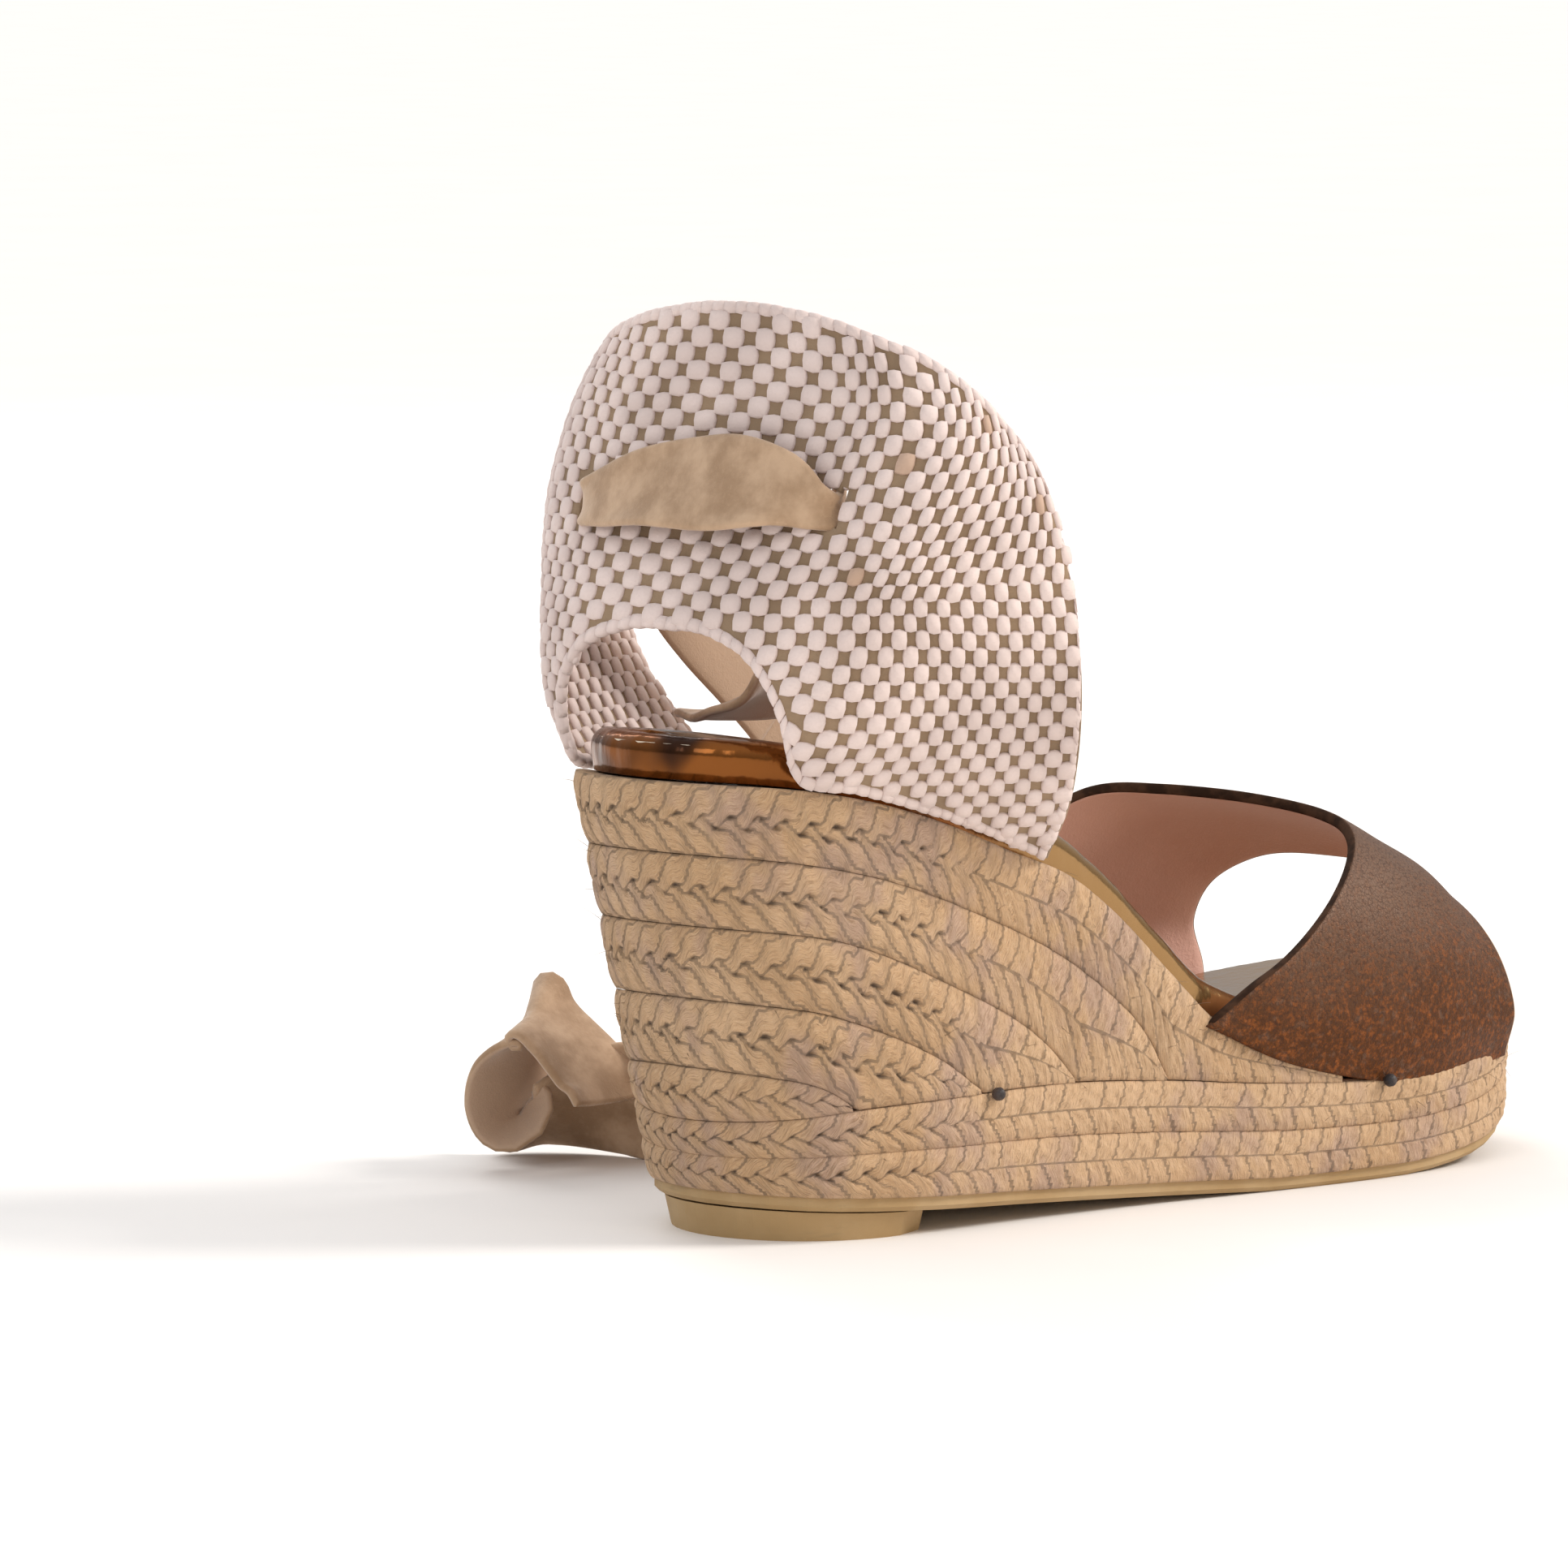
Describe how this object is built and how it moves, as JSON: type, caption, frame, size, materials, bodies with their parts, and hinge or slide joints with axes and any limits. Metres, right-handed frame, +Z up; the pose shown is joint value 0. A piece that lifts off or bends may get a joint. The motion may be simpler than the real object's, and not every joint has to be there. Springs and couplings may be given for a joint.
{
  "type": "wedge espadrille sandal",
  "caption": "Open-toe wedge sandal with a braided jute wedge and platform, a bronze leather vamp, a tall woven ankle cuff and a suede tie threaded through it.",
  "frame": {"origin": "on the floor, on the underside of the heel lift, under the middle of the heel", "axes": "+X towards the toe, +Y towards the inner side of the foot, +Z up; the sandal is for a right foot"},
  "size_m": [0.2279, 0.1628, 0.1701],
  "materials": {
    "outsole_rubber": "matt olive-beige rubber, slightly scuffed",
    "core": "pressed cork, hidden",
    "jute": "braided natural jute with loose fibres",
    "thread": "dark waxed thread",
    "board": "fibre board, hidden",
    "foam": "soft padding, hidden",
    "bronze_leather": "glossy metallic bronze leather",
    "crackle_leather": "crackled bronze-brown leather with a metallic sheen",
    "lining": "soft pinkish-brown lining leather",
    "woven": "off-white tufted basket weave on a taupe ground",
    "suede": "tan suede with a paler underside"
  },
  "bodies": {
    "sole": {"outsole": "outsole_rubber", "heel_lift": "outsole_rubber", "wedge_core": "core", "platform_course_lower": "jute", "platform_course_upper": "jute", "heel_course_1": "jute", "heel_course_2": "jute", "heel_course_3": "jute", "heel_course_4": "jute", "heel_course_5": "jute", "seam_knot_1": "thread", "seam_knot_2": "thread", "insole_board": "board", "insole_foam": "foam", "insole_cover": "bronze_leather", "vamp_outer": "crackle_leather", "vamp_lining": "lining", "quarter_base_outer": "woven", "quarter_base_inner": "woven"},
    "cuff": {"quarter_cuff": "woven", "tie_back_band": "suede", "tie_inner_run": "suede"},
    "outer_tie": {"tie_outer_run": "suede"},
    "tail": {"tie_tail": "suede"}
  },
  "joints": [
    {"name": "cuff_fold", "type": "hinge", "parent": "sole", "child": "cuff", "pos_m": [-0.004, 0, 0.08], "axis": [0, 1, 0], "range_deg": [-8, 12], "stiffness_Nm_per_rad": 0.25},
    {"name": "outer_tie_lift", "type": "hinge", "parent": "cuff", "child": "outer_tie", "pos_m": [-0.0188, -0.0247, 0.1384], "axis": [1, 0, 0], "range_deg": [0, 12]},
    {"name": "tail_lift", "type": "hinge", "parent": "sole", "child": "tail", "pos_m": [0.0324, 0.0386, 0.0917], "axis": [0.8, 0, 0.6], "range_deg": [0, 30]}
  ]
}
